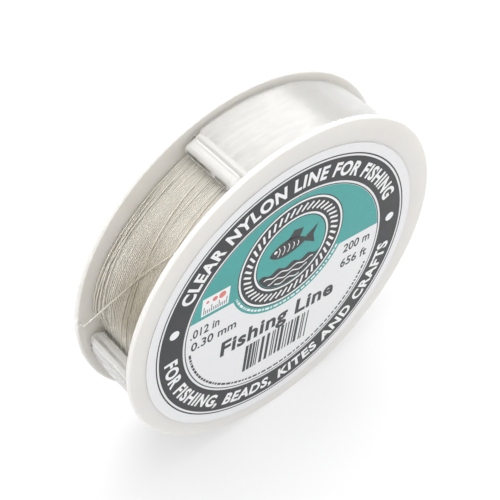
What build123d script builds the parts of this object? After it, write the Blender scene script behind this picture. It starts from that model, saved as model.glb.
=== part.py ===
"""A fishing line spool: two moulded flanges on a hollow drum, two hundred metres of clear
monofilament wound between them, a springy C-shaped line cover, and a paper label.

The spool stands on its rims. Its axis is Y, the label faces -Y, +Z is up, and the origin is
on the axis at the middle of the width. Clock angles are read from the front, from the top
towards +X. All sizes are in millimetres.
"""

from build123d import *
from math import cos, degrees, pi, radians, sin, tan
import os

# Overall sizes
flange_radius = 38.0
spool_width = 17.0            # over the outer faces of the two flanges

# Flanges
flange_thickness = 1.1
rim_round = 0.35
spigot_length = 3.0           # the ring that presses into the drum
spigot_wall = 1.2
spigot_slots = 3
spigot_slot_width = 3.0
bore_lead_in = 0.3

# Drum
drum_radius = 25.5
drum_wall = 1.2
bore_radius = 5.5
arbor_wall = 1.3
web_count = 6
web_thickness = 1.0

# Line
line_diameter = 0.305
winding_radius = 32.9         # outside of the full winding
winding_edge = 0.5            # the turns fall away a little beside the flanges

# Line cover
cover_radius = 36.4
cover_wall = 0.9
lip_length = 3.8              # along the rim of the cover
lip_round = 1.3
lip_wall = 0.8
lip_sink = 0.1                # the lip's top lies this far under the cover's
window_top_clock = -19.8      # the lips' edges, where the window starts and ends
window_bottom_clock = -91.0
corner_relief = 0.8           # radius of the notch in the cover's rear corners

# Line notch in the rear flange's rim
notch_clock = -85.0
notch_depth = 0.95
notch_width = 0.6
notch_mouth = 1.6

# Front label
label_radius = 33.6
label_thickness = 0.12
label_shift = 1.02            # it was stuck on this far off the centre
label_shift_clock = 218.0
nick_radius = 0.3
nick_clock = 43.0

# Start of the line: a knot behind a hole in the drum's wall
start_hole_radius = 0.5
start_clock = 30.0
start_depth = 2.5             # along the axis, behind the middle
knot_radius = 0.75

# Clearances
spigot_clearance = 0.05
key_clearance = 0.2
winding_clearance = 0.1
cover_side_clearance = 0.5
lip_clearance = 0.2           # from the lips' feet to the winding
knot_clearance = 0.05

# Worked out
half_width = spool_width / 2
inner_half = half_width - flange_thickness
drum_inner = drum_radius - drum_wall
spigot_outer = drum_inner - spigot_clearance
web_half = inner_half - spigot_length - key_clearance
cover_width = 2 * (inner_half - cover_side_clearance)
line_radius = line_diameter / 2

# The held end of the line, from the last turn to its cut end, as clock angle, radius and
# depth along the axis. It lies on the winding, crosses it in one tight run, turns into the
# notch in the rear flange's rim and is cut off flush with that flange's outer face.
tail_route = [
    (-36.0, 33.25, -6.7),
    (-43.0, 33.25, -4.8),
    (-50.0, 33.25, -2.9),
    (-57.0, 33.4, -0.9),
    (-85.0, 37.3, 6.3),
    (-85.0, 37.3, 8.4),
]


def section(depth):
    """The plane square to the axis at this depth, seen from the front."""
    return Plane.XZ.offset(-depth)


def at_clock(radius, clock):
    """A place in a section, turned so that its own Y points outwards."""
    angle = radians(clock)
    return Location((radius * sin(angle), radius * cos(angle), 0), (0, 0, -clock))


def wedge(first_clock, last_clock, reach):
    """The corners of a wedge from the axis, between two clock angles."""
    middle_clock = (first_clock + last_clock) / 2
    rim = [(reach * sin(radians(c)), reach * cos(radians(c)))
           for c in (first_clock, middle_clock, last_clock)]
    return [(0, 0), *rim, (0, 0)]


def space_point(clock, radius, depth):
    """A point in the part's frame from its clock angle, radius and depth."""
    return Vector(radius * sin(radians(clock)), depth, radius * cos(radians(clock)))


def finish(name, piece):
    """Label a piece and write it to its own file."""
    piece.part.label = name
    export_step(piece.part, f"parts/{name}.step")


def make_flange(side):
    """A flange with its press ring. side is -1 at the front and 1 at the rear."""
    with BuildPart() as flange:
        with BuildSketch(section(side * half_width)):
            Circle(flange_radius)
            Circle(bore_radius, mode=Mode.SUBTRACT)
        extrude(amount=side * flange_thickness)
        rim_edges = flange.edges().filter_by(GeomType.CIRCLE).group_by(SortBy.RADIUS)[-1]
        fillet(rim_edges, radius=rim_round)
        with BuildSketch(section(side * inner_half)):
            Circle(spigot_outer)
            Circle(spigot_outer - spigot_wall, mode=Mode.SUBTRACT)
            with PolarLocations(spigot_outer, spigot_slots, start_angle=90):
                Rectangle(4 * spigot_wall, spigot_slot_width, mode=Mode.SUBTRACT)
        extrude(amount=side * spigot_length)
    return flange


os.makedirs("parts", exist_ok=True)

# Front flange, closed by the label
front_flange = make_flange(-1)
finish("front_flange", front_flange)

# Rear flange, with the notch that holds the line's end and a lead-in to the bore
with BuildPart() as rear_flange:
    add(make_flange(1).part)
    mouth_edge = rear_flange.edges().filter_by(GeomType.CIRCLE).filter_by(
        lambda edge: abs(edge.radius - bore_radius) < rim_round).sort_by(Axis.Y)[-1]
    chamfer(mouth_edge, length=bore_lead_in)
    with BuildSketch(section(half_width + 1)):
        with Locations(at_clock(flange_radius, notch_clock)):
            Rectangle(notch_width, 2 * notch_depth)
            Polygon((-notch_mouth / 2, 1), (-notch_mouth / 2, 0), (0, -notch_mouth / 2),
                    (notch_mouth / 2, 0), (notch_mouth / 2, 1), align=None)
    extrude(amount=flange_thickness + 2, mode=Mode.SUBTRACT)
finish("rear_flange", rear_flange)

# Drum: the barrel that the line is wound on, the arbor tube and the webs between them
with BuildPart() as drum:
    with BuildSketch(section(0)):
        Circle(drum_radius)
        Circle(drum_inner, mode=Mode.SUBTRACT)
    extrude(amount=inner_half, both=True)
    with BuildSketch(section(0)):
        Circle(bore_radius + arbor_wall)
    extrude(amount=inner_half, both=True)
    with BuildSketch(section(0)):
        with PolarLocations((bore_radius + drum_radius) / 2, web_count, start_angle=90):
            Rectangle(drum_radius - bore_radius - drum_wall, web_thickness)
    extrude(amount=web_half, both=True)
    with BuildSketch(section(0)):
        with PolarLocations(drum_inner - spigot_wall / 2, spigot_slots, start_angle=90):
            Rectangle(spigot_wall + drum_wall, spigot_slot_width - 2 * key_clearance)
    extrude(amount=inner_half - key_clearance, both=True)
    with BuildSketch(section(0)):
        Circle(bore_radius)
    extrude(amount=inner_half, both=True, mode=Mode.SUBTRACT)
    start_hole = Plane(origin=(0, start_depth, 0), x_dir=(0, 1, 0),
                       z_dir=(sin(radians(start_clock)), 0, cos(radians(start_clock))))
    with BuildSketch(start_hole.offset(drum_inner - drum_wall)):
        Circle(start_hole_radius)
    extrude(amount=3 * drum_wall, mode=Mode.SUBTRACT)
finish("drum", drum)

# The knot at the line's inner end, and the stub that comes out to the first turn
knot_centre = drum_inner - knot_clearance - knot_radius
with BuildPart() as start_knot:
    with Locations(start_hole.offset(knot_centre)):
        Sphere(knot_radius)
    with BuildSketch(start_hole.offset(knot_centre)):
        Circle(line_radius)
    extrude(amount=drum_radius + winding_clearance / 2 - knot_centre)
finish("start_knot", start_knot)

# The winding, as one closed ring in place of its turns
with BuildPart() as line_winding:
    with BuildSketch(section(0)):
        Circle(winding_radius)
        Circle(drum_radius + winding_clearance, mode=Mode.SUBTRACT)
    extrude(amount=inner_half - winding_clearance, both=True)
    shoulder_edges = line_winding.edges().filter_by(GeomType.CIRCLE).group_by(SortBy.RADIUS)[-1]
    chamfer(shoulder_edges, length=winding_edge)
finish("line_winding", line_winding)

# The held end of the line: straight runs and the arcs that join them
tail_points = [space_point(*spot) for spot in tail_route]
tail_runs = [b - a for a, b in zip(tail_points, tail_points[1:])]
tail_radii = []
for run, next_run in zip(tail_runs, tail_runs[1:]):
    half_turn = radians(run.get_angle(next_run)) / 2
    tail_radii.append(0.45 * min(run.length, next_run.length) / tan(half_turn))
print("tail radii, mm:", [round(radius, 2) for radius in tail_radii])
with BuildPart() as line_tail:
    with BuildLine() as tail_path:
        FilletPolyline(*tail_points, radius=tail_radii)
    with BuildSketch(tail_path.line ^ 0):
        Circle(line_radius)
    sweep()
tail_length = sum(edge.length for edge in tail_path.edges())
print("tail length, mm:", round(tail_length, 2), " volume share:",
      round(line_tail.part.volume / (tail_length * pi * line_radius ** 2), 4))
finish("line_tail", line_tail)

# Line cover: a springy band round the winding, with a hollow rolled lip at each end
lip_top = cover_radius - lip_sink
lip_height = lip_top - winding_radius - lip_clearance
lip_middle = lip_top - lip_height / 2
lip_half_clock = degrees(lip_length / 2 / lip_middle)
lip_clocks = (window_bottom_clock - lip_half_clock, window_top_clock + lip_half_clock)
lip_seam_clocks = (lip_clocks[0] - lip_half_clock / 2, lip_clocks[1] + lip_half_clock / 2)
with BuildPart() as line_cover:
    with BuildSketch(section(0)):
        Circle(cover_radius)
        Circle(cover_radius - cover_wall, mode=Mode.SUBTRACT)
        with BuildLine():
            Polyline(*wedge(*lip_seam_clocks, 2 * cover_radius))
        make_face(mode=Mode.SUBTRACT)
        with Locations(*[at_clock(lip_middle, clock) for clock in lip_clocks]):
            RectangleRounded(lip_length, lip_height, lip_round)
            RectangleRounded(lip_length - 2 * lip_wall, lip_height - 2 * lip_wall,
                             lip_round - lip_wall, mode=Mode.SUBTRACT)
    extrude(amount=cover_width / 2, both=True)
    for clock in lip_seam_clocks:
        outwards = Plane(origin=(0, cover_width / 2, 0), x_dir=(0, 1, 0),
                         z_dir=(sin(radians(clock)), 0, cos(radians(clock))))
        away = corner_relief if clock > sum(lip_clocks) / 2 else -corner_relief
        with BuildSketch(outwards.offset(cover_radius - 1.5 * cover_wall)):
            with Locations((0, away)):
                Circle(corner_relief)
        extrude(amount=2 * cover_wall, mode=Mode.SUBTRACT)
finish("line_cover", line_cover)

# Front label: a round sticker a little off the centre, with a nick in its edge
shift = at_clock(label_shift, label_shift_clock).position
with BuildPart() as front_label:
    with BuildSketch(section(-half_width)):
        with Locations((shift.X, shift.Y)):
            Circle(label_radius)
            with Locations(at_clock(label_radius, nick_clock)):
                Circle(nick_radius, mode=Mode.SUBTRACT)
    extrude(amount=label_thickness)
finish("front_label", front_label)
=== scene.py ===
import math
import random
import bmesh
import bpy
from mathutils import Matrix, Vector
from mathutils.geometry import tessellate_polygon


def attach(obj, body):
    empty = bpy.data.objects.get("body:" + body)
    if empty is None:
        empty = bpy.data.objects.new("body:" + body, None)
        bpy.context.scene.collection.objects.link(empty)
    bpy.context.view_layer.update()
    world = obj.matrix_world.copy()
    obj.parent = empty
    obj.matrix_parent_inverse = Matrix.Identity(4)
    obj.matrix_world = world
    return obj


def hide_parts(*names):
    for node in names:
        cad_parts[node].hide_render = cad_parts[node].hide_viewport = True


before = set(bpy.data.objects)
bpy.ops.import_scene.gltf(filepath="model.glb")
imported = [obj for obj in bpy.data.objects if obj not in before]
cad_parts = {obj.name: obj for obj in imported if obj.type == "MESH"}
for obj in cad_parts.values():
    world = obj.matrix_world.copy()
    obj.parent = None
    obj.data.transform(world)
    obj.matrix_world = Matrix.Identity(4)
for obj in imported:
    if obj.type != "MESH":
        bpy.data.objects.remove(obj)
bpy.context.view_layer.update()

MM = 0.001
scene = bpy.context.scene

# Sizes shared with the CAD model
flange_radius = 38.0
half_width = 8.5
winding_inner = 25.6
winding_half = 7.3
line_radius = 0.1525
cover_radius = 36.4
cover_inner = 35.5
cover_half = 6.9
lip_middle = 34.7             # radius of the lips' centres
lip_half_length = 1.9
lip_half_height = 1.6
lip_round = 1.3
lip_wall = 0.8
lip_clocks = (-16.663, -94.137)   # upper, lower
corner_relief = 0.8           # radius of the notch in the cover's rear corners
label_radius = 33.6
label_centre_clock = 218.0
label_shift = 1.02
nick_clock = 43.0
nick_radius = 0.3
label_up_clock = 8.2          # the printing was stuck on turned this far

# The held end of the line, as clock, radius and depth
tail_route = [
    (-36.0, 33.25, -6.7),
    (-43.0, 33.25, -4.8),
    (-50.0, 33.25, -2.9),
    (-57.0, 33.4, -0.9),
    (-63.6, 33.1, 0.8),
    (-82.3, 36.85, 5.6),
    (-85.0, 37.3, 6.3),
    (-85.0, 37.3, 8.4),
]


# ---------------------------------------------------------------- helpers

def at(clock, radius, depth):
    """A point of the frame, in metres, from its clock angle, radius and depth in mm."""
    angle = math.radians(clock)
    return Vector((radius * math.sin(angle), depth, radius * math.cos(angle))) * MM


def piece(name, verts, faces, body, materials, smooth_angle=None, kinds=None):
    """A mesh object in the part's frame that rides on a body. kinds is each face's paint."""
    mesh = bpy.data.meshes.new(name)
    mesh.from_pydata([tuple(v) for v in verts], [], faces)
    mesh.validate()
    shape = bmesh.new()
    shape.from_mesh(mesh)
    bmesh.ops.recalc_face_normals(shape, faces=shape.faces)
    shape.to_mesh(mesh)
    shape.free()
    for material in materials:
        mesh.materials.append(material)
    if kinds is not None:
        mesh.polygons.foreach_set("material_index", kinds)
    thing = bpy.data.objects.new(name, mesh)
    scene.collection.objects.link(thing)
    if smooth_angle is not None:
        mesh.polygons.foreach_set("use_smooth", [True] * len(mesh.polygons))
        mesh.set_sharp_from_angle(angle=math.radians(smooth_angle))
    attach(thing, body)
    return thing


def area_light(name, place, size, power):
    """A square soft box that looks at the spool's middle."""
    data = bpy.data.lights.new(name, "AREA")
    data.shape = "SQUARE"
    data.size = size
    data.energy = power
    lamp = bpy.data.objects.new(name, data)
    lamp.location = place
    lamp.rotation_mode = "QUATERNION"
    lamp.rotation_quaternion = (Vector() - Vector(place)).to_track_quat("-Z", "Y")
    scene.collection.objects.link(lamp)


# ---------------------------------------------------------------- materials
# Noise scales are in cycles per metre and bump distances in metres.

class Paint:
    """A material with a Principled shader and short calls for its nodes."""

    def __init__(self, name, **sockets):
        self.material = bpy.data.materials.new(name)
        self.material.use_nodes = True
        self.tree = self.material.node_tree
        self.shader = self.tree.nodes["Principled BSDF"]
        for socket, value in sockets.items():
            self.shader.inputs[socket.replace("_", " ")].default_value = value
        self.place = self.node("ShaderNodeTexCoord").outputs["Object"]

    def node(self, kind, links=None, **settings):
        made = self.tree.nodes.new(kind)
        for name, value in settings.items():
            setattr(made, name, value)
        for socket, source in (links or {}).items():
            self.join(source, made.inputs[socket])
        return made

    def join(self, source, socket):
        if isinstance(source, bpy.types.NodeSocket):
            self.tree.links.new(source, socket)
        else:
            socket.default_value = source

    def stretched(self, scale):
        """The part's own coordinates, scaled along each axis."""
        return self.node("ShaderNodeMapping", {"Vector": self.place, "Scale": scale}).outputs[0]

    def round_the_axis(self, across, along):
        """Coordinates that follow the turns: fine across them, slow along them."""
        apart = self.node("ShaderNodeSeparateXYZ", {0: self.place}).outputs
        flat = self.node("ShaderNodeCombineXYZ", {0: apart[0], 2: apart[2]}).outputs[0]
        way = self.node("ShaderNodeVectorMath", {0: flat}, operation="NORMALIZE").outputs[0]
        slow = self.node("ShaderNodeVectorMath", {0: way, 1: (along,) * 3},
                         operation="MULTIPLY").outputs[0]
        fine = self.math("MULTIPLY", apart[1], across)
        lift = self.node("ShaderNodeCombineXYZ", {1: fine}).outputs[0]
        return self.node("ShaderNodeVectorMath", {0: slow, 1: lift}, operation="ADD").outputs[0]

    def math(self, operation, first, second):
        return self.node("ShaderNodeMath", {0: first, 1: second}, operation=operation).outputs[0]

    def noise(self, vector, scale, detail=3.0, rough=0.55):
        return self.node("ShaderNodeTexNoise", {"Vector": vector, "Scale": scale,
                         "Detail": detail, "Roughness": rough}).outputs["Fac"]

    def ramp(self, factor, stops):
        made = self.node("ShaderNodeValToRGB", {"Fac": factor})
        band = made.color_ramp
        while len(band.elements) < len(stops):
            band.elements.new(0.5)
        for element, (spot, colour) in zip(band.elements, stops):
            element.position = spot
            element.color = (*colour, 1)
        return made.outputs["Color"]

    def blend(self, factor, first, second, kind="MIX"):
        made = self.node("ShaderNodeMix", data_type="RGBA", blend_type=kind)
        for index, source in ((0, factor), (6, first), (7, second)):
            self.join(source, made.inputs[index])
        return made.outputs[2]

    def spread(self, noise, low, high):
        """A number that goes from low to high over a noise's usual range."""
        return self.node("ShaderNodeMapRange", {"Value": noise, "From Min": 0.3,
                         "From Max": 0.7, "To Min": low, "To Max": high}).outputs[0]

    def fade(self, value, start, end):
        """From 0 at start to 1 at end, soft at both."""
        return self.node("ShaderNodeMapRange", {"Value": value, "From Min": start,
                         "From Max": end}, interpolation_type="SMOOTHSTEP").outputs[0]

    def colour(self, source):
        self.join(source, self.shader.inputs["Base Color"])

    def rough(self, source):
        self.join(source, self.shader.inputs["Roughness"])

    def bump(self, height, strength, distance):
        made = self.node("ShaderNodeBump", {"Height": height, "Strength": strength,
                                            "Distance": distance})
        self.tree.links.new(made.outputs[0], self.shader.inputs["Normal"])


def flange_paint():
    """Milky moulded styrene: soft mottling, a satin texture and faint turning marks."""
    paint = Paint("flange_milky", IOR=1.5, Transmission_Weight=0.1, Subsurface_Weight=0.5,
                  Subsurface_Scale=0.002, Subsurface_Radius=(1.0, 0.9, 0.75))
    cloud = paint.noise(paint.place, 55.0, 3.0)
    grain = paint.noise(paint.place, 2600.0, 2.0)
    paint.colour(paint.ramp(cloud, [(0.3, (0.76, 0.742, 0.715)), (0.7, (0.80, 0.787, 0.765))]))
    paint.rough(paint.spread(paint.noise(paint.place, 240.0), 0.46, 0.58))
    rings = paint.noise(paint.round_the_axis(9000.0, 6.0), 1.0, 1.0)
    height = paint.math("ADD", grain, paint.math("MULTIPLY", rings, 0.5))
    paint.bump(height, 0.25, 0.00004)
    return paint.material


def drum_paint():
    """The same styrene, seen only down the bore: duller, with drag marks along the axis."""
    paint = Paint("drum_milky", IOR=1.5)
    cloud = paint.noise(paint.stretched((260, 30, 260)), 1.0, 3.0)
    paint.colour(paint.ramp(cloud, [(0.3, (0.72, 0.71, 0.68)), (0.7, (0.80, 0.79, 0.77))]))
    paint.rough(paint.spread(cloud, 0.38, 0.55))
    paint.bump(cloud, 0.3, 0.00003)
    return paint.material


def strand_paint(name, dark, light, clear):
    """Clear nylon that looks beige in bulk, each turn a little lighter or darker."""
    paint = Paint(name, IOR=1.53, Transmission_Weight=clear, Specular_IOR_Level=0.6)
    turns = paint.noise(paint.round_the_axis(5200.0, 1.4), 1.0, 1.0, 0.5)
    patch = paint.noise(paint.round_the_axis(420.0, 3.4), 1.0, 2.0)
    both = paint.math("ADD", paint.math("MULTIPLY", turns, 0.62),
                      paint.math("MULTIPLY", patch, 0.38))
    glint = (0.985, 0.965, 0.915)
    unshaded = paint.ramp(both, [(0.34, dark), (0.58, light), (0.72, glint)])
    # Painted shade: the bare turns in the window are darkened where the shade falls, out
    # from the axis, above the lower lip, and in front of the slack turns, in metres
    out_start, out_end = -0.0200, -0.0300
    lip_start, lip_end = 0.0010, 0.0078
    slack_start, slack_end = 0.0050, -0.0005
    painted_shade_tint = (0.70, 0.665, 0.58, 1.0)
    apart = paint.node("ShaderNodeSeparateXYZ", {0: paint.place}).outputs
    far_out = paint.fade(apart[0], out_start, out_end)
    above = paint.fade(apart[2], lip_start, lip_end)
    before_slack = paint.fade(apart[1], slack_start, slack_end)
    painted_shade = paint.math("MULTIPLY", paint.math("MULTIPLY", far_out, above), before_slack)
    paint.colour(paint.blend(painted_shade, unshaded, painted_shade_tint, "MULTIPLY"))
    paint.rough(paint.spread(turns, 0.16, 0.34))
    return paint.material


def cover_paint(name, clear, tint):
    """Clear glossy styrene with a slight haze, flow lines and fine scuffs."""
    paint = Paint(name, IOR=1.49, Transmission_Weight=clear)
    haze = paint.noise(paint.stretched((60, 90, 60)), 1.0, 3.0)
    cloudy = [0.99 * share for share in tint]
    paint.colour(paint.ramp(haze, [(0.3, cloudy), (0.7, tint)]))
    paint.rough(paint.spread(paint.noise(paint.place, 320.0), 0.2, 0.27))
    flow = paint.noise(paint.round_the_axis(260.0, 5.0), 1.0, 2.0)
    paint.bump(flow, 0.08, 0.0001)
    return paint.material


def crease_shade_paint():
    """Painted shade for the folds of a lip: dark lines where their shadows fall."""
    paint = Paint("cover_crease_shade", IOR=1.49, Transmission_Weight=0.25)
    shade_mottle = paint.noise(paint.place, 900.0, 2.0)
    paint.colour(paint.ramp(shade_mottle, [(0.35, (0.10, 0.097, 0.085)), (0.7, (0.30, 0.29, 0.26))]))
    paint.rough(paint.spread(shade_mottle, 0.3, 0.5))
    return paint.material


def paper_paint():
    """Coated label stock with faint fibres; the cut edge takes the grey painted shade of
    edge_paint.
    """
    paint = Paint("label_stock", IOR=1.46, Coat_Weight=0.15, Coat_Roughness=0.25)
    fibres = paint.noise(paint.stretched((700, 700, 1400)), 1.0, 4.0, 0.65)
    paint.colour(paint.ramp(fibres, [(0.3, (0.75, 0.75, 0.765)), (0.7, (0.79, 0.79, 0.80))]))
    paint.rough(paint.spread(fibres, 0.38, 0.5))
    paint.bump(fibres, 0.2, 0.00002)
    return paint.material


def edge_paint():
    """The label's cut edge, painted dark grey as the shadow line round the raised paper."""
    paint = Paint("label_edge", Roughness=0.8)
    shade_mottle = paint.noise(paint.place, 160.0, 3.0)
    paint.colour(paint.ramp(shade_mottle, [(0.35, (0.36, 0.35, 0.34)), (0.65, (0.62, 0.61, 0.59))]))
    return paint.material


def ink_paint(name, dark, light):
    """Printing ink: screen grain, slightly uneven cover, half gloss."""
    paint = Paint(name, IOR=1.46, Specular_IOR_Level=0.45)
    grain = paint.noise(paint.place, 3200.0, 2.0)
    cloud = paint.noise(paint.place, 210.0, 3.0)
    both = paint.math("ADD", paint.math("MULTIPLY", grain, 0.5),
                      paint.math("MULTIPLY", cloud, 0.5))
    paint.colour(paint.ramp(both, [(0.35, dark), (0.65, light)]))
    paint.rough(paint.spread(cloud, 0.34, 0.46))
    return paint.material


def floor_paint():
    """Matt white acrylic, softly lit from below as a light table is."""
    paint = Paint("studio_floor", Roughness=0.9, Specular_IOR_Level=0.1,
                  Emission_Color=(1.0, 1.0, 1.0, 1.0), Emission_Strength=0.56)
    cloud = paint.noise(paint.place, 3.0, 2.0)
    paint.colour(paint.ramp(cloud, [(0.3, (0.30, 0.30, 0.30)), (0.7, (0.32, 0.32, 0.32))]))
    return paint.material


# ---------------------------------------------------------------- camera

def make_camera():
    """A long lens above and to the left of the label, turned to put the spool upright."""
    place = Vector((-0.10756, -0.12392, 0.20062))
    right = Vector((0.7618, -0.6478, 0.0)).normalized()
    forward = Vector((0.4132, 0.4859, -0.7702)).normalized()
    up = right.cross(forward).normalized()
    turn = Matrix((right, up, -forward)).transposed()
    data = bpy.data.cameras.new("camera")
    data.lens = 95.34
    data.sensor_width = 36.0
    data.clip_start = 0.01
    data.clip_end = 20.0
    camera = bpy.data.objects.new("camera", data)
    camera.matrix_world = Matrix.Translation(place) @ turn.to_4x4()
    scene.collection.objects.link(camera)
    scene.camera = camera


# ---------------------------------------------------------------- line

def make_tail(material):
    """The held end of the line, as one smooth curve through the rear notch."""
    data = bpy.data.curves.new("line_end", "CURVE")
    data.dimensions = "3D"
    data.resolution_u = 24
    data.bevel_depth = line_radius * MM
    data.bevel_resolution = 4
    data.use_fill_caps = True
    spline = data.splines.new("NURBS")
    spline.points.add(len(tail_route) - 1)
    for point, spot in zip(spline.points, tail_route):
        point.co = (*at(*spot), 1.0)
    spline.order_u = 3
    spline.use_endpoint_u = True
    data.materials.append(material)
    tail = bpy.data.objects.new("line_end", data)
    scene.collection.objects.link(tail)
    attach(tail, "spool")
    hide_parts("line_tail")


def tube(verts, faces, spots, radius, sides=6, closed=False):
    """Add a strand that runs round the axis through (clock, radius, depth) spots."""
    first = len(verts)
    for clock, distance, depth in spots:
        angle = math.radians(clock)
        out = Vector((math.sin(angle), 0, math.cos(angle)))
        for side in range(sides):
            turn = 2 * math.pi * side / sides
            reach = distance + radius * math.cos(turn)
            verts.append((out * reach + Vector((0, depth + radius * math.sin(turn), 0))) * MM)
    count = len(spots)
    for ring in range(count - 1 + closed):
        here, there = first + ring * sides, first + (ring + 1) % count * sides
        for side in range(sides):
            after = (side + 1) % sides
            faces.append((here + side, here + after, there + after, there + side))
    if not closed:
        faces.append(tuple(first + side for side in range(sides)))
        last = first + (count - 1) * sides
        faces.append(tuple(last + side for side in reversed(range(sides))))


def smooth(share):
    """From 0 to 1, with a soft start and end."""
    share = max(0.0, min(1.0, share))
    return share * share * (3 - 2 * share)


def swell(clock, depth):
    """How far the slack turns stand proud beside the rear flange, in mm."""
    clock = (clock + 180) % 360 - 180
    return 1.75 * (smooth((-36 - clock) / 42) * smooth((clock + 88.5) / 9.5)
                   * smooth((depth - 1.2) / 5.6))


def wander(clock, depth, phases):
    """How far neighbouring turns drift sideways together, in mm."""
    angle = math.radians(clock)
    return (0.10 * math.sin(2 * angle + phases[0] + 0.5 * depth)
            + 0.06 * math.sin(5 * angle + phases[1] + 0.9 * depth)
            + 0.03 * math.sin(11 * angle + phases[2] + 1.7 * depth))


def wound_layer(name, radius, half, turns, way, rng, lift, material):
    """One layer of turns, wound as one long helix from flange to flange."""
    step = 2.5                # degrees from spot to spot
    wide_gap, wide_share = 0.12, 0.08
    settle = 1.2              # the drift dies out this close to the layer's edge
    edge = half - line_radius
    gaps = [rng.uniform(0.975, 1.025) + (wide_gap if rng.random() < wide_share else 0)
            for _ in range(turns)]
    scale = 2 * edge / sum(gaps)
    starts = [-edge]
    for gap in gaps:
        starts.append(starts[-1] + gap * scale)
    shared = [rng.uniform(0, 6.28) for _ in range(3)]
    own = [(rng.uniform(0, 6.28), rng.uniform(0.005, 0.025), rng.uniform(0, 6.28),
            rng.uniform(-0.3, 1.0)) for _ in range(turns + 1)]
    spots = []
    for turn in range(turns):
        for index in range(int(360 / step)):
            share = index * step / 360
            clock = way * index * step
            mix = [a + (b - a) * share for a, b in zip(own[turn], own[turn + 1])]
            depth = starts[turn] + (starts[turn + 1] - starts[turn]) * share
            fade = min(1.0, (edge - abs(depth)) / settle)
            angle = math.radians(clock)
            drift = wander(clock, depth, shared) + mix[1] * math.sin(3 * angle + mix[0])
            rise = lift * mix[3] * (0.6 + 0.4 * math.sin(2 * angle + mix[2]))
            place = way * (depth + fade * drift)
            spots.append((clock, radius + rise + swell(clock, place), place))
    verts, faces = [], []
    tube(verts, faces, spots, line_radius)
    piece(name, verts, faces, "spool", [material], 80)


def crossing_turns(name, plan, material):
    """Loose or crossing strands, whose ends dive under the turns beside them."""
    step = 2.0                # degrees from spot to spot
    buried, climb = 32.25, 0.56
    verts, faces = [], []
    for start, end, first, last, height, wave, phase in plan:
        count = max(8, int(abs(end - start) / step))
        spots = []
        for index in range(count + 1):
            share = index / count
            clock = start + (end - start) * share
            dive = min(1.0, 6 * share, 6 * (1 - share))
            bow = math.sin(math.pi * share)
            depth = first + (last - first) * smooth(share) + wave * math.sin(
                math.radians(4 * clock) + phase) * bow
            radius = (buried + climb * math.sin(dive * math.pi / 2) + height * bow ** 1.5
                      + swell(clock, depth))
            spots.append((clock, radius, depth))
        tube(verts, faces, spots, line_radius, 8)
    piece(name, verts, faces, "spool", [material], 80)


def winding_core(material):
    """The deeper layers: one closed ring with a slightly wavy face under the open turns."""
    face_radius, ripple, steps = 32.02, 0.05, 46
    profile = [(winding_inner, -winding_half), (winding_inner, winding_half)]
    profile += [(face_radius + ripple * math.sin(2.3 * i),
                 winding_half - 2 * winding_half * i / steps) for i in range(steps + 1)]
    count = 180
    verts, faces = [], []
    for i in range(count):
        clock = 360 * i / count
        for radius, depth in profile:
            rise = swell(clock, depth) if radius > 30 else 0.0
            verts.append(at(clock, radius + rise, depth))
    size = len(profile)
    for i in range(count):
        here, there = i * size, (i + 1) % count * size
        for j in range(size):
            after = (j + 1) % size
            faces.append((here + j, here + after, there + after, there + j))
    return piece("line_core", verts, faces, "spool", [material], 40)


def make_winding():
    rng = random.Random(305)
    outer_paint = strand_paint("line_outer", (0.88, 0.835, 0.75), (0.955, 0.92, 0.84), 0.5)
    under_paint = strand_paint("line_under", (0.87, 0.83, 0.745), (0.955, 0.925, 0.85), 0.3)
    core = winding_core(strand_paint("line_deep", (0.83, 0.79, 0.70), (0.905, 0.875, 0.795), 0.0))
    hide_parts("line_winding")
    wound_layer("line_turns_under", 32.30, 7.3, 46, -1, rng, 0.04, under_paint)
    wound_layer("line_turns_outer", 32.58, 7.28, 46, 1, rng, 0.08, outer_paint)
    loose = [
        (-24, -92, 7.0, 6.7, 0.55, 0.06, 0.4),
        (-31, -91, 6.3, 6.2, 0.40, 0.08, 1.9),
        (-35, -92, 6.8, 5.3, 0.30, 0.08, 3.1),
        (-20, -90, 5.2, 6.5, 0.20, 0.08, 5.0),
        (-44, -91, 5.9, 4.4, 0.25, 0.08, 2.2),
    ]
    crossing = []
    for _ in range(11):
        start = rng.uniform(-150, 130)
        sweep = rng.uniform(55, 120)
        first = rng.uniform(-6.6, 6.2)
        slide = rng.choice((-1, 1)) * rng.uniform(0.7, 3.2)
        last = max(-6.9, min(6.6, first + slide))
        crossing.append((start, start + sweep, first, last, 0.0, 0.05, rng.uniform(0, 6)))
    for first, last in ((-6.9, -6.3), (-5.2, -6.4), (-6.2, -4.6), (-3.2, -5.4), (1.5, -0.8)):
        crossing.append((-12, -80, first, last, 0.12, 0.06, rng.uniform(0, 6)))
    crossing_turns("line_loose", loose, outer_paint)
    crossing_turns("line_crossing", crossing, outer_paint)
    return outer_paint


# ---------------------------------------------------------------- cover

def arc_spots(centre, radius, start, end, count):
    """Points on an arc in a lip's own section, as (along the rim, outwards)."""
    return [(centre[0] + radius * math.cos(math.radians(start + (end - start) * i / count)),
             centre[1] + radius * math.sin(math.radians(start + (end - start) * i / count)))
            for i in range(count + 1)]


def lip_shape():
    """Half-section of a lip: over its top from the seam, round it, up to the band inside."""
    flat, tall = lip_half_length - lip_round, lip_half_height - lip_round
    top = lip_half_height
    seam = [(1.04, top - 0.02), (0.98, top - 0.06), (0.90, top - 0.06), (0.82, top),
            (0.72, top + 0.05), (0.58, top + 0.06), (0.44, top + 0.03), (0.28, top)]
    crown = [(0.28 - 0.88 * i / 5, top + 0.02 * math.sin(math.pi * i / 5)) for i in range(1, 5)]
    window = arc_spots((-flat, tall), lip_round, 90, 180, 14)
    foot = arc_spots((-flat, -tall), lip_round, 180, 270, 14)
    back = arc_spots((flat, -tall), lip_round, 270, 360, 14)
    inside = arc_spots((flat, tall), lip_round, 0, 20, 4)
    return seam + crown + window + foot + back + inside


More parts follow.
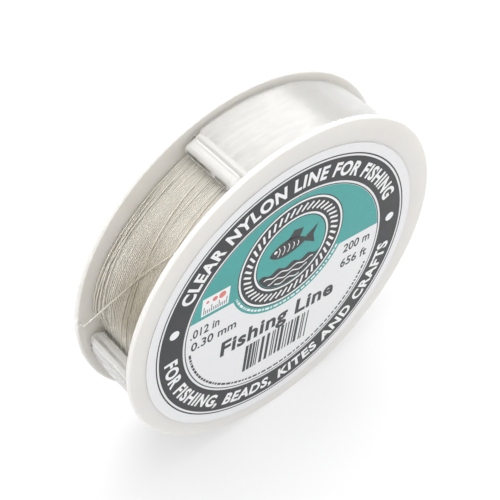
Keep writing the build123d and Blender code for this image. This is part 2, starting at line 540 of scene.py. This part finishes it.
def hollow_shape():
    """The hollow inside a lip."""
    flat = lip_half_length - lip_round
    tall = lip_half_height - lip_round
    bend = lip_round - lip_wall
    corners = (((flat, tall), 0), ((-flat, tall), 90), ((-flat, -tall), 180), ((flat, -tall), 270))
    spots = []
    for centre, start in corners:
        spots += arc_spots(centre, bend, start, start + 90, 8)
    return spots


def lip_point(spot, clock, away):
    """A point in the plane of the section, in mm, from a lip's own coordinates."""
    angle = math.radians(clock)
    along, out = away * spot[0], lip_middle + spot[1]
    return (out * math.sin(angle) + along * math.cos(angle),
            out * math.cos(angle) - along * math.sin(angle))


def outward(loop):
    """Unit normals of a closed loop, pointing out of the area it encloses."""
    area = sum(a[0] * b[1] - b[0] * a[1] for a, b in zip(loop, loop[1:] + loop[:1]))
    sign = 1 if area > 0 else -1
    normals = []
    for before, after in zip(loop[-1:] + loop[:-1], loop[1:] + loop[:1]):
        dx, dz = after[0] - before[0], after[1] - before[1]
        size = math.hypot(dx, dz) or 1.0
        normals.append((sign * dz / size, -sign * dx / size))
    return normals


def band_arc(radius, first, last, count=360):
    """Points of the band's section on an arc, from one clock angle to another."""
    spots = []
    for i in range(count + 1):
        clock = math.radians(first + (last - first) * i / count)
        spots.append((radius * math.sin(clock), radius * math.cos(clock)))
    return spots


def cover_loops(fullness):
    """The cover's outline and its two hollow lips, which narrow towards their ends."""
    upper, lower = lip_clocks
    shape = [(x * fullness, y * fullness) for x, y in lip_shape()]
    hollow = [(x * fullness, y * fullness) for x, y in hollow_shape()]
    top_lip = [lip_point(spot, upper, 1) for spot in shape]
    low_lip = [lip_point(spot, lower, -1) for spot in shape]
    seam, inner_seam = 1.62, 2.05          # from a lip's middle to the band, along the rim
    seam_turn = math.degrees(seam / cover_radius)
    inner_turn = math.degrees(inner_seam / cover_inner)
    outer = band_arc(cover_radius, upper + seam_turn, 360 + lower - seam_turn)
    inner = band_arc(cover_inner, 360 + lower - inner_turn, upper + inner_turn)
    eased = [(1.34, lip_half_height + 0.06), (1.16, lip_half_height - 0.01)]
    rise = [lip_point(spot, upper, 1) for spot in reversed(eased)]
    fall = [lip_point(spot, lower, -1) for spot in eased]
    outline = list(reversed(top_lip)) + rise + outer + fall + low_lip + inner
    hollows = [[lip_point(spot, clock, 1) for spot in hollow] for clock in lip_clocks]
    return outline, hollows


def cover_finish(x, depth, z):
    """Which paint a face of the cover takes: 0 clear band, 1 lip, a lighter painted copy of the
    band's paint, 2 painted shade on a lip's folds and rear corner.
    """
    lip_reach = 3.7                                # degrees to each side of a lip's middle
    # The lines below on the lips' faces take painted shade
    lower_folds = ((0.31, 0.44), (0.60, 0.72))     # heights of the lines along its face
    upper_folds = ((-5.1, -2.2), (-0.7, 5.4))      # the line's stretches across the width
    clock = math.degrees(math.atan2(x, z))
    if not lip_clocks[1] - lip_reach < clock < lip_clocks[0] + lip_reach:
        return 0
    lower = clock < sum(lip_clocks) / 2
    angle = math.radians(lip_clocks[lower])
    along = (-1 if lower else 1) * (x * math.cos(angle) - z * math.sin(angle))
    out = x * math.sin(angle) + z * math.cos(angle) - lip_middle
    if lower:
        fold_shade = (along < -1.5 and abs(depth) < 6.2
                  and any(a < out < b for a, b in lower_folds))
    else:
        fold_shade = (along < -1.64 and out > 0.0
                  and any(a < depth < b for a, b in upper_folds))
    # Painted shade on the lip's rear corner, where it tucks in
    corner_shade = 0.3 < cover_half - depth < 0.75 and out > 0.75 and along > -0.9
    return 2 if fold_shade or corner_shade else 1


def make_cover(paints):
    """The C-shaped cover, with rounded side edges and the two notches beside its lips."""
    edge, dome = 0.14, 1.5                 # the side edges' rounding, the lips' rounded ends
    thin, gain = 0.42, 0.58                # a lip's fullness at its ends, and what it gains
    notch_away = 2.9                       # degrees from a lip's middle to its notch
    rows = []
    for turn in (0, 20, 40, 65, 90):
        angle = math.radians(turn)
        rows.append((cover_half - edge + edge * math.cos(angle), edge * (1 - math.sin(angle))))
    rows += [(cover_half - dome * share, 0.0) for share in (0.2, 0.32, 0.46, 0.62, 0.8, 1.0)]
    rows += [(5.2 - 0.6 * step, 0.0) for step in range(8)]
    rows = [(-depth, inset) for depth, inset in rows] + list(reversed(rows))
    verts, faces = [], []
    starts, sizes = [], []
    for number in range(3):
        starts.append(len(verts))
        for depth, inset in rows:
            far = max(0.0, (abs(depth) - cover_half + dome) / dome)
            outline, hollows = cover_loops(thin + gain * math.sqrt(max(0.0, 1 - far * far)))
            loop = ([outline] + hollows)[number]
            side = -1 if number == 0 else 1
            for (x, z), (nx, nz) in zip(loop, outward(loop)):
                verts.append(Vector((x + side * inset * nx, depth, z + side * inset * nz)) * MM)
        size = len(loop)
        sizes.append(size)
        for row in range(len(rows) - 1):
            here, there = starts[-1] + row * size, starts[-1] + (row + 1) * size
            for i in range(size):
                after = (i + 1) % size
                faces.append((here + i, here + after, there + after, there + i))
    for row in (0, len(rows) - 1):
        index, rings = [], []
        for start, size in zip(starts, sizes):
            ids = [start + row * size + i for i in range(size)]
            index += ids
            rings.append([Vector((verts[i].x, verts[i].z, 0)) / MM for i in ids])
        for a, b, c in tessellate_polygon(rings):
            faces.append((index[a], index[b], index[c]))
    cover = piece("cover_band", verts, faces, "cover", paints, 38)
    for face in cover.data.polygons:
        face.material_index = cover_finish(*(face.center / MM))
    for clock in (lip_clocks[0] + notch_away, lip_clocks[1] - notch_away):
        notch_cover(cover, clock)
    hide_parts("line_cover")


def notch_cover(cover, clock):
    """Cut a half-round notch into the cover's rear edge, beside a lip's seam."""
    cut_radius, cut_depth = 36.2, 2.0      # the cutter's middle, and its length outwards
    shape = bmesh.new()
    bmesh.ops.create_cone(shape, cap_ends=True, segments=40, radius1=corner_relief * MM,
                          radius2=corner_relief * MM, depth=cut_depth * MM)
    angle = math.radians(clock)
    out = Vector((math.sin(angle), 0, math.cos(angle)))
    turn = out.to_track_quat("Z", "Y").to_matrix().to_4x4()
    middle = out * cut_radius * MM + Vector((0, cover_half, 0)) * MM
    shape.transform(Matrix.Translation(middle) @ turn)
    mesh = bpy.data.meshes.new("cutter")
    shape.to_mesh(mesh)
    shape.free()
    cutter = bpy.data.objects.new("cutter", mesh)
    scene.collection.objects.link(cutter)
    cut = cover.modifiers.new("notch", "BOOLEAN")
    cut.operation = "DIFFERENCE"
    cut.solver = "EXACT"
    cut.object = cutter
    bpy.context.view_layer.update()
    graph = bpy.context.evaluated_depsgraph_get()
    result = bpy.data.meshes.new_from_object(cover.evaluated_get(graph))
    old = cover.data
    cover.modifiers.clear()
    cover.data = result
    result.name = "cover_band"
    bpy.data.meshes.remove(old)
    bpy.data.objects.remove(cutter)
    bpy.data.meshes.remove(mesh)


# ---------------------------------------------------------------- label

INK_HEIGHTS = {"teal": 0.094, "dark": 0.100, "white": 0.106, "black": 0.112, "red": 0.112}
PAPER_HEIGHT = 0.088
inks = {name: ([], []) for name in INK_HEIGHTS}
label_up = Vector((math.sin(math.radians(label_up_clock)), 0,
                   math.cos(math.radians(label_up_clock))))
label_right = Vector((label_up.z, 0, -label_up.x))
label_centre = at(label_centre_clock, label_shift, 0)


def on_label(spot, height):
    """A point of the label from (right, up) in mm and its height over the flange."""
    return (label_centre + (label_right * spot[0] + label_up * spot[1]) * MM
            - Vector((0, half_width + height, 0)) * MM)


def print_shape(ink, spots, triangles):
    """Lay a flat shape down as a thin closed layer of ink."""
    verts, faces = inks[ink]
    start, count = len(verts), len(spots)
    top = INK_HEIGHTS[ink]
    verts += [on_label(spot, top) for spot in spots]
    verts += [on_label(spot, PAPER_HEIGHT) for spot in spots]
    used = {}
    for face in triangles:
        ring = list(face)
        a, b, c = (spots[i] for i in ring[:3])
        if (b[0] - a[0]) * (c[1] - a[1]) - (b[1] - a[1]) * (c[0] - a[0]) < 0:
            ring.reverse()
        faces.append(tuple(start + i for i in ring))
        faces.append(tuple(start + count + i for i in reversed(ring)))
        for i, j in zip(ring, ring[1:] + ring[:1]):
            used[(i, j)] = used.get((i, j), 0) + 1
    for i, j in used:
        if (j, i) not in used:
            faces.append((start + j, start + i, start + count + i, start + count + j))


def print_outline(ink, outline, holes=()):
    """Print a filled outline, with holes."""
    rings = [[Vector((x, y, 0)) for x, y in loop] for loop in (outline, *holes)]
    spots = [spot for loop in (outline, *holes) for spot in loop]
    print_shape(ink, spots, tessellate_polygon(rings))


def circle_spots(centre, radius, start=0.0, end=360.0, count=None):
    """Points on an arc of the label, by angle from its up towards its right."""
    count = count or max(6, int(abs(end - start) / 1.5))
    full = abs(end - start) >= 360
    return [(centre[0] + radius * math.sin(math.radians(start + (end - start) * i / count)),
             centre[1] + radius * math.cos(math.radians(start + (end - start) * i / count)))
            for i in range(count + (not full))]


def print_ring(ink, centre, inner, outer, start=0.0, end=360.0):
    """Print a ring, or a part of one."""
    full = abs(end - start) >= 360
    near = circle_spots(centre, inner, start, end)
    count = len(near)
    far = circle_spots(centre, outer, start, end)
    quads = [(i, (i + 1) % count, count + (i + 1) % count, count + i)
             for i in range(count if full else count - 1)]
    print_shape(ink, near + far, quads)


def print_disc(ink, centre, radius):
    """Print a small round dot."""
    print_outline(ink, circle_spots(centre, radius, count=24))


def print_box(ink, centre, width, height, turn=0.0):
    """Print a turned rectangle."""
    c, s = math.cos(math.radians(turn)), math.sin(math.radians(turn))
    corners = [(-width / 2, -height / 2), (width / 2, -height / 2),
               (width / 2, height / 2), (-width / 2, height / 2)]
    spots = [(centre[0] + c * x + s * y, centre[1] - s * x + c * y) for x, y in corners]
    print_shape(ink, spots, [(0, 1, 2, 3)])


def letter_mesh(text, bold, spacing):
    """Flat letters as (spots, faces), one capital high, starting at the origin."""
    found = []
    for body in ("H", text):
        data = bpy.data.curves.new("letters", "FONT")
        data.body = body
        data.size = 1.0
        data.offset = bold
        data.space_character = spacing
        data.resolution_u = 4
        maker = bpy.data.objects.new("letters", data)
        scene.collection.objects.link(maker)
        bpy.context.view_layer.update()
        graph = bpy.context.evaluated_depsgraph_get()
        mesh = bpy.data.meshes.new_from_object(maker.evaluated_get(graph))
        found.append(([(v.co.x, v.co.y) for v in mesh.vertices],
                      [tuple(p.vertices) for p in mesh.polygons]))
        bpy.data.objects.remove(maker)
        bpy.data.curves.remove(data)
        bpy.data.meshes.remove(mesh)
    capital = [y for _, y in found[0][0]]
    base, height = min(capital), max(capital) - min(capital)
    spots, faces = found[1]
    left = min(x for x, _ in spots)
    return [((x - left) / height, (y - base) / height) for x, y in spots], faces


def print_line(ink, text, centre, width, capital, bold, spacing):
    """Print a straight line of letters, centred and as wide as asked."""
    spots, faces = letter_mesh(text, bold, spacing)
    wide = max(x for x, _ in spots)
    placed = [(centre[0] + (x / wide - 0.5) * width, centre[1] + (y - 0.5) * capital)
              for x, y in spots]
    print_shape(ink, placed, faces)


def print_bent(ink, text, radius, start, end, capital, bold, spacing):
    """Print letters round the label, from one angle to another, tops away from the arc's
    inside where the angles rise and towards it where they fall."""
    spots, faces = letter_mesh(text, bold, spacing)
    wide = max(x for x, _ in spots)
    way = 1 if end > start else -1
    placed = []
    for x, y in spots:
        angle = math.radians(start + (end - start) * x / wide)
        reach = radius + way * (y - 0.5) * capital
        placed.append((reach * math.sin(angle), reach * math.cos(angle)))
    print_shape(ink, placed, faces)


def print_art():
    """The label's printing: a ring of plain words, a badge with a fish, sizes and bars."""
    rng = random.Random(12)
    middle = (0.0, 0.0)
    # Outer ring with its hairlines
    print_ring("dark", middle, 31.15, 31.45)
    print_ring("dark", middle, 25.2, 30.72)
    print_ring("dark", middle, 24.52, 24.74)
    words = 27.95                          # radius of the words' middle line
    print_bent("white", "CLEAR NYLON LINE FOR FISHING", words, -66.5, 66.5, 3.25, 0.038, 1.12)
    print_bent("white", "FOR FISHING, BEADS, KITES AND CRAFTS", words, 264.0, 96.0, 3.1,
               0.038, 1.12)
    for clock in (-80.8, 80.8):
        spot = (words * math.sin(math.radians(clock)), words * math.cos(math.radians(clock)))
        print_disc("white", spot, 1.1)
    # Teal field, with a skirt round the badge
    badge = (-0.1, 10.2)
    field, skirt, chord = 24.45, 14.7, 4.6
    reach = math.degrees(math.acos(chord / field))
    dip = math.degrees(math.acos((chord - badge[1]) / skirt))
    arc = circle_spots(middle, field, -reach, reach, 120)
    under = circle_spots(badge, skirt, dip, 360 - dip, 90)
    print_outline("teal", arc + under)
    # Badge: rings, a rope between them and a fish over water
    print_ring("dark", badge, 12.95, 13.2)
    print_ring("white", badge, 12.5, 12.95)
    print_ring("dark", badge, 9.25, 12.5)
    print_ring("white", badge, 8.8, 9.25)
    print_ring("dark", badge, 8.55, 8.8)
    strands, rope = 46, 10.87
    for index in range(strands):
        angle = 360 * index / strands
        spot = [badge[0] + rope * math.sin(math.radians(angle)),
                badge[1] + rope * math.cos(math.radians(angle))]
        print_box("white", spot, 0.52, 2.1, angle + 33)
    print_fish(badge)
    # White print on the teal, along the skirt
    angle = 112.0
    while angle < 248.0:
        width = rng.uniform(1.6, 5.5)
        print_ring("white", badge, 13.65, 14.15, angle, min(angle + width, 248.0))
        angle += width + 1.5
    # Tag: a small ruler under three dots
    tag = (-18.3, 7.75)
    print_box("white", tag, 6.5, 4.6)
    for index in range(13):
        tall = 1.9 if index % 4 == 0 else 1.0
        print_box("black", (tag[0] - 2.7 + 0.45 * index, tag[1] - 1.95 + tall / 2), 0.17, tall)
    for index in range(3):
        print_disc("red", (tag[0] - 2.0 + 1.75 * index, tag[1] + 1.05), 0.36 + 0.24 * index)
    # Sizes
    print_line("black", ".012 in", (-20.1, 1.45), 6.9, 2.3, 0.014, 1.04)
    print_line("black", "0.30 mm", (-17.6, -2.1), 11.0, 2.3, 0.014, 1.04)
    print_line("black", "200 m", (18.9, 2.1), 7.3, 2.4, 0.014, 1.04)
    print_line("black", "656 ft", (19.0, -2.2), 7.3, 2.4, 0.014, 1.04)
    print_line("black", "Fishing Line", (-0.3, -8.0), 29.8, 4.3, 0.03, 1.08)
    # Bars
    left, right_end, bottom, top = -8.3, 8.6, -19.4, -11.5
    spot = left
    while spot < right_end:
        width = rng.choice((0.28, 0.28, 0.5, 0.72))
        print_box("black", (spot + width / 2, (bottom + top) / 2), width, top - bottom)
        spot += width + rng.choice((0.26, 0.26, 0.48, 0.7))
    # Fine print along the ring
    angle = 104.0
    while angle < 258.0:
        width = rng.uniform(0.9, 3.4)
        print_ring("black", middle, 23.35, 23.85, angle, angle + width)
        angle += width + 0.85


def print_fish(centre):
    """A plain fish over three waves, inside the badge."""
    body = []
    count = 26
    for index in range(count + 1):
        share = index / count
        x = -5.4 + 9.6 * share
        body.append((x, 2.35 * math.sin(math.pi * share ** 0.85) ** 0.8))
    under = [(x, -0.86 * y) for x, y in reversed(body[1:-1])]
    outline = body[:-1] + [(3.7, 0.75), (6.5, 2.7), (5.7, 0.15), (6.4, -2.3), (3.7, -0.6)]
    outline += under[1:]
    lift = (centre[0] - 0.4, centre[1] + 1.7)
    print_outline("dark", [(lift[0] + x, lift[1] + y) for x, y in outline])
    fin = [(-1.2, 2.1), (0.2, 4.1), (2.6, 3.6), (2.0, 1.5), (0.4, 2.0)]
    print_outline("dark", [(lift[0] + x, lift[1] + y) for x, y in fin])
    print_disc("white", (lift[0] - 3.9, lift[1] + 0.45), 0.42)
    for start, size in ((-2.9, 1.7), (-1.7, 1.75), (-0.5, 1.6), (0.7, 1.3), (1.8, 0.95)):
        print_ring("white", (lift[0] + start - size, lift[1]), size, size + 0.2, 50, 130)
    pool = circle_spots(centre, 8.45, 113, 247, 60)
    crest = []
    for index in range(41):
        x = -7.75 + 15.5 * index / 40
        crest.append((centre[0] + x, centre[1] - 3.3 + 0.42 * math.sin(1.62 * x)))
    print_outline("dark", pool + crest)
    for drop, half in ((4.6, 6.3), (6.0, 5.0), (7.3, 3.2)):
        wave = []
        for index in range(31):
            x = -half + 2 * half * index / 30
            wave.append((x, -drop + 0.32 * math.sin(1.62 * x + drop)))
        loop = [(centre[0] + x, centre[1] + y + 0.16) for x, y in wave]
        loop += [(centre[0] + x, centre[1] + y - 0.16) for x, y in reversed(wave)]
        print_outline("white", loop)


def make_label():
    """The paper disc with a nick in its edge, and the inks on it."""
    count = 720
    loop = []
    for index in range(count):
        clock = 360 * index / count
        away = math.radians((clock - nick_clock + 180) % 360 - 180) * label_radius
        bite = math.sqrt(max(0.0, nick_radius ** 2 - away ** 2))
        angle = math.radians(clock - label_up_clock)
        reach = label_radius - bite
        loop.append((reach * math.sin(angle), reach * math.cos(angle)))
    rows = [(0.0, 1.0), (PAPER_HEIGHT - 0.02, 1.0), (PAPER_HEIGHT, 0.9994)]
    verts = [on_label((x * shrink, y * shrink), height)
             for height, shrink in rows for x, y in loop]
    faces, kinds = [], []
    for row in range(len(rows) - 1):
        for i in range(count):
            after = (i + 1) % count
            faces.append((row * count + i, row * count + after,
                          (row + 1) * count + after, (row + 1) * count + i))
            kinds.append(1)
    for height, row, flip in ((0.0, 0, False), (PAPER_HEIGHT, len(rows) - 1, True)):
        verts.append(on_label((0, 0), height))
        for i in range(count):
            after = (i + 1) % count
            ring = (len(verts) - 1, row * count + i, row * count + after)
            faces.append(ring[::-1] if flip else ring)
            kinds.append(0)
    paper = piece("label_paper", verts, faces, "spool",
                  [paper_paint(), edge_paint()], 30, kinds)
    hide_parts("front_label")
    print_art()
    tones = {
        "teal": ((0.04, 0.31, 0.295), (0.058, 0.37, 0.35)),
        "red": ((0.62, 0.16, 0.14), (0.72, 0.22, 0.19)),
        "dark": ((0.018, 0.019, 0.022), (0.032, 0.033, 0.036)),
        "white": ((0.80, 0.80, 0.81), (0.85, 0.85, 0.86)),
        "black": ((0.022, 0.023, 0.028), (0.04, 0.042, 0.05)),
    }
    for name, (ink_verts, ink_faces) in inks.items():
        piece("label_ink_" + name, ink_verts, ink_faces, "spool",
              [ink_paint("ink_" + name, *tones[name])])


# ---------------------------------------------------------------- studio

def make_studio():
    """A pale floor under the rims, an even sky and four soft boxes."""
    size = 4.0
    sky_light, backdrop_tone = 0.45, 0.92  # the world as a light, and as it is seen
    floor_height = -flange_radius * MM
    mesh = bpy.data.meshes.new("floor")
    mesh.from_pydata([(-size, -size, floor_height), (size, -size, floor_height),
                      (size, size, floor_height), (-size, size, floor_height)],
                     [], [(0, 1, 2, 3)])
    mesh.materials.append(floor_paint())
    floor = bpy.data.objects.new("floor", mesh)
    scene.collection.objects.link(floor)
    world = bpy.data.worlds.new("studio")
    world.use_nodes = True
    sky = world.node_tree.nodes["Background"]
    sky.inputs["Color"].default_value = (1.0, 1.0, 1.0, 1.0)
    links = world.node_tree.links
    seen = world.node_tree.nodes.new("ShaderNodeLightPath")
    backdrop = world.node_tree.nodes.new("ShaderNodeMapRange")
    backdrop.inputs["To Min"].default_value = sky_light
    backdrop.inputs["To Max"].default_value = backdrop_tone
    links.new(seen.outputs["Is Camera Ray"], backdrop.inputs["Value"])
    links.new(backdrop.outputs[0], sky.inputs["Strength"])
    scene.world = world
    area_light("soft_key", (0.62, 0.54, 0.74), 0.9, 10.0)
    area_light("soft_top", (-0.05, 0.05, 1.0), 0.95, 9.8)
    area_light("soft_side", (-0.8, -0.12, 0.0), 0.5, 3.6)
    area_light("soft_front", (0.45, -0.85, 0.45), 0.8, 2.8)
    scene.view_settings.view_transform = "Standard"
    scene.view_settings.look = "None"
    scene.view_settings.exposure = 0.0
    scene.view_settings.gamma = 1.0


make_camera()
strand = make_winding()
make_tail(strand)
# The lips take cover_lip, a cloudier, lighter copy of the band's clear paint: painted light that
# makes them read bright. The third paint is painted shade.
make_cover([cover_paint("cover_clear", 0.84, (1.0, 1.0, 0.995)),
            cover_paint("cover_lip", 0.68, (1.0, 0.99, 0.97)), crease_shade_paint()])
make_label()
milky, duller = flange_paint(), drum_paint()
for node, paint in (("front_flange", milky), ("rear_flange", milky), ("drum", duller),
                    ("start_knot", strand)):
    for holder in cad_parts[node].material_slots:
        holder.material = paint
make_studio()
